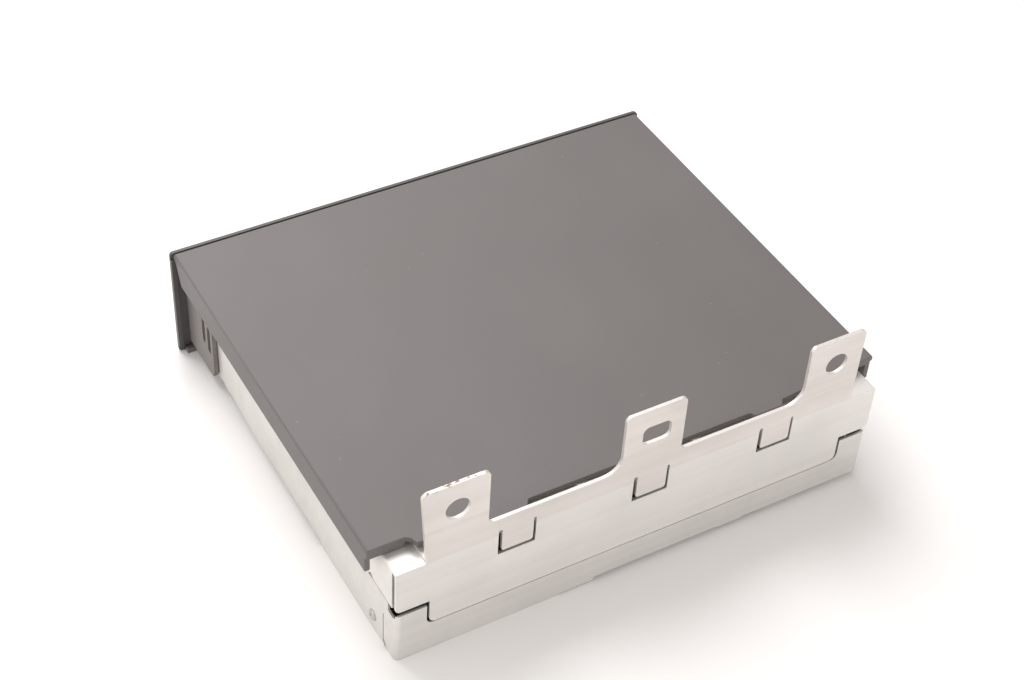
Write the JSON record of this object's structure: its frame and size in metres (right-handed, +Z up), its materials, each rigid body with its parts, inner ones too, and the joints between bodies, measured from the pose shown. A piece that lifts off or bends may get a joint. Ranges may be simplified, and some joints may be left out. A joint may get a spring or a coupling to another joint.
{
  "type": "car cd changer",
  "caption": "Slim in-dash disc changer: steel case, grained cover, slotted bezel with keys and a rear bracket; disc loading, lift and playback mechanisms inside.",
  "frame": {"origin": "middle of the footprint, on the surface that the changer stands on", "axes": "+Z up, +Y towards the rear bracket, -Y out of the disc mouth"},
  "size_m": [0.1948, 0.168, 0.0733],
  "materials": {
    "zinc_steel": "zinc-plated sheet, satin",
    "lid_steel": "zinc-plated sheet, satin",
    "bracket_steel": "plated sheet, worn along its edges",
    "cover_plastic": "fine matt grain",
    "bezel_plastic": "matt",
    "shutter_plastic": "matt",
    "key_plastic": "satin",
    "light_guide": "clear",
    "screw_steel": "plated",
    "board_green": "solder mask",
    "part_black": "moulded",
    "frame_steel": "zinc-plated sheet",
    "bush_brass": "turned",
    "mount_rubber": "moulded",
    "spring_steel": "drawn wire",
    "guide_plastic": "moulded",
    "gear_plastic": "moulded",
    "motor_steel": "plated can",
    "roller_rubber": "ground",
    "shaft_steel": "ground",
    "tray_plastic": "moulded",
    "carriage_plastic": "moulded",
    "arm_steel": "stamped",
    "lens_glass": "coated",
    "socket_plastic": "moulded"
  },
  "bodies": {
    "chassis": {"lower_case": "zinc_steel", "top_lid": "lid_steel", "lid_screws": "screw_steel", "wall_rivets": "screw_steel", "rear_bracket": "bracket_steel", "bracket_rivets": "screw_steel", "top_cover": "cover_plastic", "front_bezel": "bezel_plastic", "front_board": "board_green", "key_switches": "part_black", "board_posts": "screw_steel", "status_lights": "light_guide", "mechanism_frame": "frame_steel", "shaft_bushes": "bush_brass", "rubber_mounts": "mount_rubber", "suspension_springs": "spring_steel", "disc_guide": "guide_plastic", "left_gear_plate": "frame_steel", "right_gear_plate": "frame_steel", "lift_motor": "motor_steel", "loading_motor": "motor_steel", "main_board": "board_green", "board_components": "part_black", "connector_socket": "socket_plastic", "pivot_clip": "spring_steel"},
    "shutter": {"slot_shutter": "shutter_plastic"},
    "key_1": {"key_1": "key_plastic"},
    "key_2": {"key_2": "key_plastic"},
    "key_3": {"key_3": "key_plastic"},
    "key_4": {"key_4": "key_plastic"},
    "key_5": {"key_5": "key_plastic"},
    "key_6": {"key_6": "key_plastic"},
    "load_key": {"load_key": "key_plastic"},
    "eject_key": {"eject_key": "key_plastic"},
    "loading_roller": {"loading_roller": "roller_rubber", "roller_shaft": "shaft_steel", "roller_gear": "gear_plastic"},
    "roller_idler": {"roller_idler": "gear_plastic"},
    "loading_pinion": {"loading_pinion": "bush_brass"},
    "lift_shaft": {"lift_shaft": "shaft_steel", "lift_gears": "gear_plastic"},
    "lift_idler": {"lift_idler": "gear_plastic"},
    "lift_motor_pinion": {"lift_motor_pinion": "bush_brass"},
    "cam_slide_left": {"cam_slide_left": "frame_steel"},
    "cam_slide_right": {"cam_slide_right": "frame_steel"},
    "carriage": {"tray_carriage": "carriage_plastic", "disc_tray_1": "tray_plastic", "disc_tray_2": "tray_plastic", "disc_tray_3": "tray_plastic", "disc_tray_4": "tray_plastic", "disc_tray_5": "tray_plastic", "disc_tray_6": "tray_plastic"},
    "player_arm": {"player_arm": "arm_steel", "spindle_motor": "motor_steel", "guide_rods": "shaft_steel", "sled_motor": "motor_steel"},
    "turntable": {"turntable": "tray_plastic"},
    "pickup_sled": {"pickup_sled": "part_black", "pickup_lens": "lens_glass"},
    "lead_screw": {"lead_screw": "shaft_steel"}
  },
  "joints": [
    {"name": "shutter_hinge", "type": "hinge", "parent": "chassis", "child": "shutter", "pos_m": [0, -0.0784, 0.0316], "axis": [1, 0, 0], "range_deg": [0, 80], "stiffness_Nm_per_rad": 0.0008, "springref_deg": -8.59},
    {"name": "key_1_press", "type": "slide", "parent": "chassis", "child": "key_1", "axis": [0, 1, 0], "range_m": [0, 0.00035], "stiffness_N_per_m": 400, "springref_m": -0.0003},
    {"name": "key_2_press", "type": "slide", "parent": "chassis", "child": "key_2", "axis": [0, 1, 0], "range_m": [0, 0.00035], "stiffness_N_per_m": 400, "springref_m": -0.0003},
    {"name": "key_3_press", "type": "slide", "parent": "chassis", "child": "key_3", "axis": [0, 1, 0], "range_m": [0, 0.00035], "stiffness_N_per_m": 400, "springref_m": -0.0003},
    {"name": "key_4_press", "type": "slide", "parent": "chassis", "child": "key_4", "axis": [0, 1, 0], "range_m": [0, 0.00035], "stiffness_N_per_m": 400, "springref_m": -0.0003},
    {"name": "key_5_press", "type": "slide", "parent": "chassis", "child": "key_5", "axis": [0, 1, 0], "range_m": [0, 0.00035], "stiffness_N_per_m": 400, "springref_m": -0.0003},
    {"name": "key_6_press", "type": "slide", "parent": "chassis", "child": "key_6", "axis": [0, 1, 0], "range_m": [0, 0.00035], "stiffness_N_per_m": 400, "springref_m": -0.0003},
    {"name": "load_key_press", "type": "slide", "parent": "chassis", "child": "load_key", "axis": [0, 1, 0], "range_m": [0, 0.00035], "stiffness_N_per_m": 400, "springref_m": -0.0003},
    {"name": "eject_key_press", "type": "slide", "parent": "chassis", "child": "eject_key", "axis": [0, 1, 0], "range_m": [0, 0.00035], "stiffness_N_per_m": 400, "springref_m": -0.0003},
    {"name": "roller_spin", "type": "hinge", "parent": "chassis", "child": "loading_roller", "pos_m": [0, -0.066, 0.0231], "axis": [1, 0, 0], "continuous": true},
    {"name": "roller_idler_spin", "type": "hinge", "parent": "chassis", "child": "roller_idler", "pos_m": [-0.077, -0.05688, 0.02642], "axis": [1, 0, 0], "continuous": true},
    {"name": "loading_pinion_spin", "type": "hinge", "parent": "chassis", "child": "loading_pinion", "pos_m": [-0.079, -0.04299, 0.02642], "axis": [1, 0, 0], "continuous": true},
    {"name": "carriage_lift", "type": "slide", "parent": "chassis", "child": "carriage", "axis": [0, 0, 1], "range_m": [0, 0.012]},
    {"name": "cam_slide_left_travel", "type": "slide", "parent": "chassis", "child": "cam_slide_left", "axis": [0, -1, 0], "range_m": [0, 0.03]},
    {"name": "cam_slide_right_travel", "type": "slide", "parent": "chassis", "child": "cam_slide_right", "axis": [0, -1, 0], "range_m": [0, 0.03]},
    {"name": "lift_shaft_turn", "type": "hinge", "parent": "chassis", "child": "lift_shaft", "pos_m": [0, -0.034, 0.0112], "axis": [1, 0, 0], "range_deg": [0, 360]},
    {"name": "lift_idler_turn", "type": "hinge", "parent": "chassis", "child": "lift_idler", "pos_m": [0.077, -0.03946, 0.01771], "axis": [1, 0, 0], "range_deg": [-480, 0]},
    {"name": "lift_motor_turn", "type": "hinge", "parent": "chassis", "child": "lift_motor_pinion", "pos_m": [0.079, -0.05315, 0.02013], "axis": [1, 0, 0], "range_deg": [0, 1720]},
    {"name": "arm_swing", "type": "hinge", "parent": "chassis", "child": "player_arm", "pos_m": [-0.062, 0.054, 0.008], "axis": [0, 0, 1], "range_deg": [-35, 0]},
    {"name": "turntable_spin", "type": "hinge", "parent": "player_arm", "child": "turntable", "pos_m": [0.01861, 0.04697, 0.01], "axis": [0, 0, 1], "continuous": true},
    {"name": "pickup_travel", "type": "slide", "parent": "player_arm", "child": "pickup_sled", "axis": [-0.9962, 0.0869, 0], "range_m": [0, 0.034]},
    {"name": "lead_screw_turn", "type": "hinge", "parent": "player_arm", "child": "lead_screw", "pos_m": [0.00004, 0.06415, 0.009], "axis": [-0.9962, 0.0869, 0], "range_deg": [0, 4100]}
  ],
  "couplings": [
    {"joint": "roller_idler_spin", "follows": "roller_spin", "ratio": -1.6667},
    {"joint": "loading_pinion_spin", "follows": "roller_spin", "ratio": 6},
    {"joint": "cam_slide_left_travel", "follows": "carriage_lift", "ratio": 2.5},
    {"joint": "cam_slide_right_travel", "follows": "carriage_lift", "ratio": 2.5},
    {"joint": "lift_shaft_turn", "follows": "carriage_lift", "rad_per_m": 520.83},
    {"joint": "lift_idler_turn", "follows": "carriage_lift", "rad_per_m": -694.44},
    {"joint": "lift_motor_turn", "follows": "carriage_lift", "rad_per_m": 2500},
    {"joint": "lead_screw_turn", "follows": "pickup_travel", "rad_per_m": 2094.4}
  ]
}
